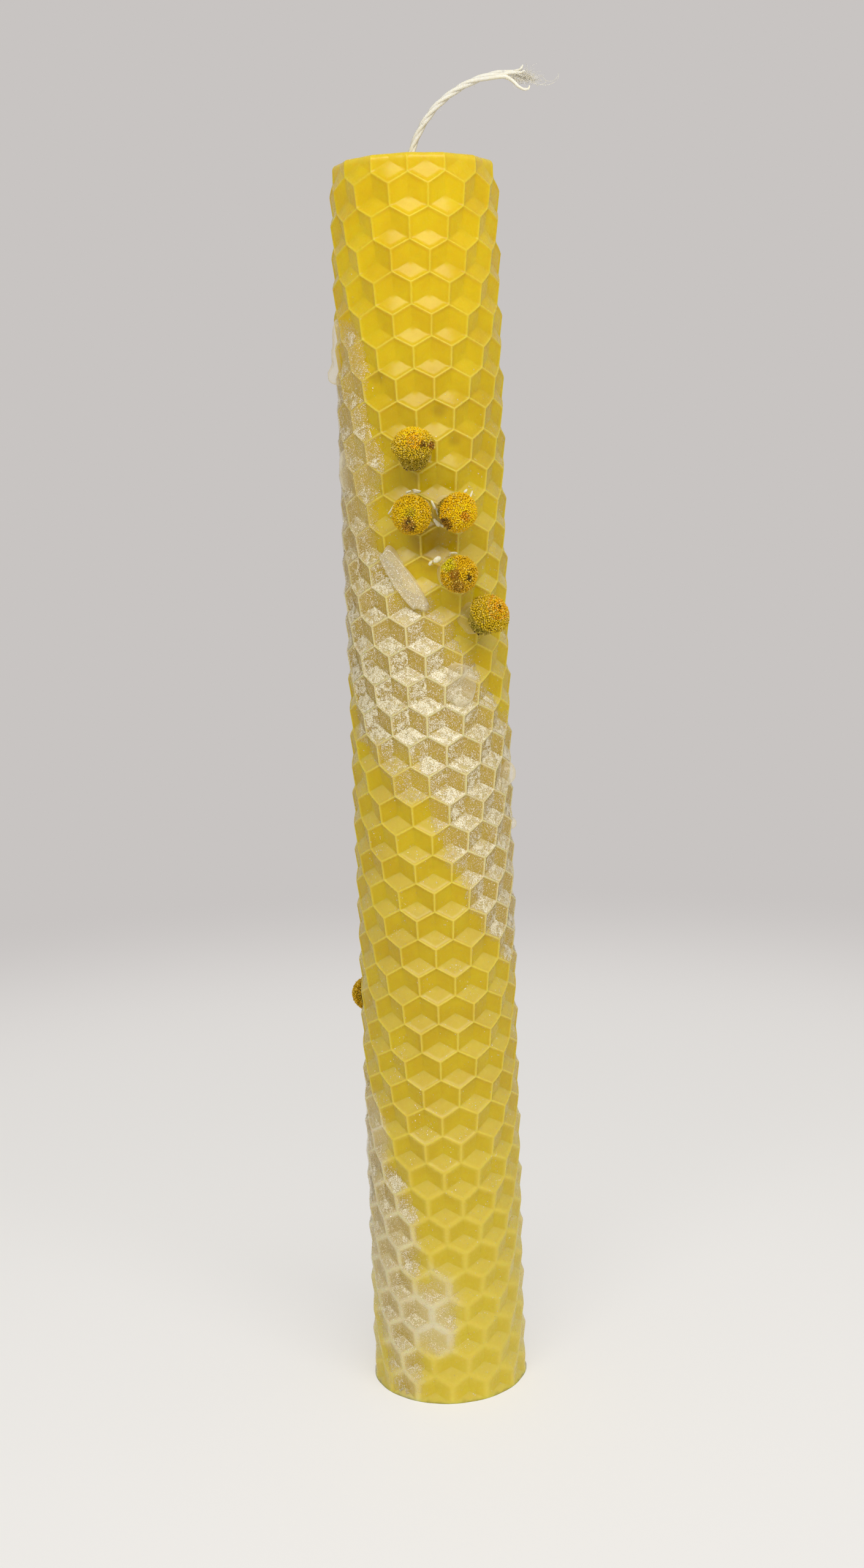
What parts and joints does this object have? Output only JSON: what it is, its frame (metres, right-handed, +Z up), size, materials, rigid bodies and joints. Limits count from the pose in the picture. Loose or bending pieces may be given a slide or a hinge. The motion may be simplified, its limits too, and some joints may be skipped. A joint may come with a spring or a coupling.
{
  "type": "rolled beeswax candle",
  "caption": "Slim pillar candle rolled from comb-embossed beeswax sheet round a cotton wick, with glued-on dried flower heads and a winding band of glitter glaze.",
  "frame": {"origin": "middle of the wick's lower end, on the flat base that the candle stands on", "axes": "+Z up along the wick, -Y towards the viewer of the spray of flowers, +X to that viewer's right, where the wick bends"},
  "size_m": [0.0356, 0.0331, 0.214],
  "materials": {
    "wax": "satin beeswax, slightly translucent, paler on the ridges",
    "wick": "twisted unbleached cotton, frayed at its end",
    "florets": "dry, matt and finely grained",
    "flower_cup": "dry, olive brown and matt",
    "glue": "clear hot-melt glue, glossy and milky",
    "glitter_glaze": "clear glaze with fine white glitter"
  },
  "bodies": {
    "root": {"wax_sheet": "wax", "wick": "wick", "glitter_glaze": "glitter_glaze", "flower_disc_1": "florets", "flower_disc_2": "florets", "flower_disc_3": "florets", "flower_disc_4": "florets", "flower_disc_5": "florets", "flower_disc_6": "florets", "flower_cup_1": "flower_cup", "flower_cup_2": "flower_cup", "flower_cup_3": "flower_cup", "flower_cup_4": "flower_cup", "flower_cup_5": "flower_cup", "flower_cup_6": "flower_cup", "glue_dab_1": "glue", "glue_dab_2": "glue", "glue_dab_3": "glue", "glue_dab_4": "glue", "glue_dab_5": "glue", "glue_dab_6": "glue", "glue_run": "glue", "glue_lump": "glue", "glue_strip": "glue", "glue_puddle": "glue", "glue_bead": "glue"}
  },
  "joints": []
}
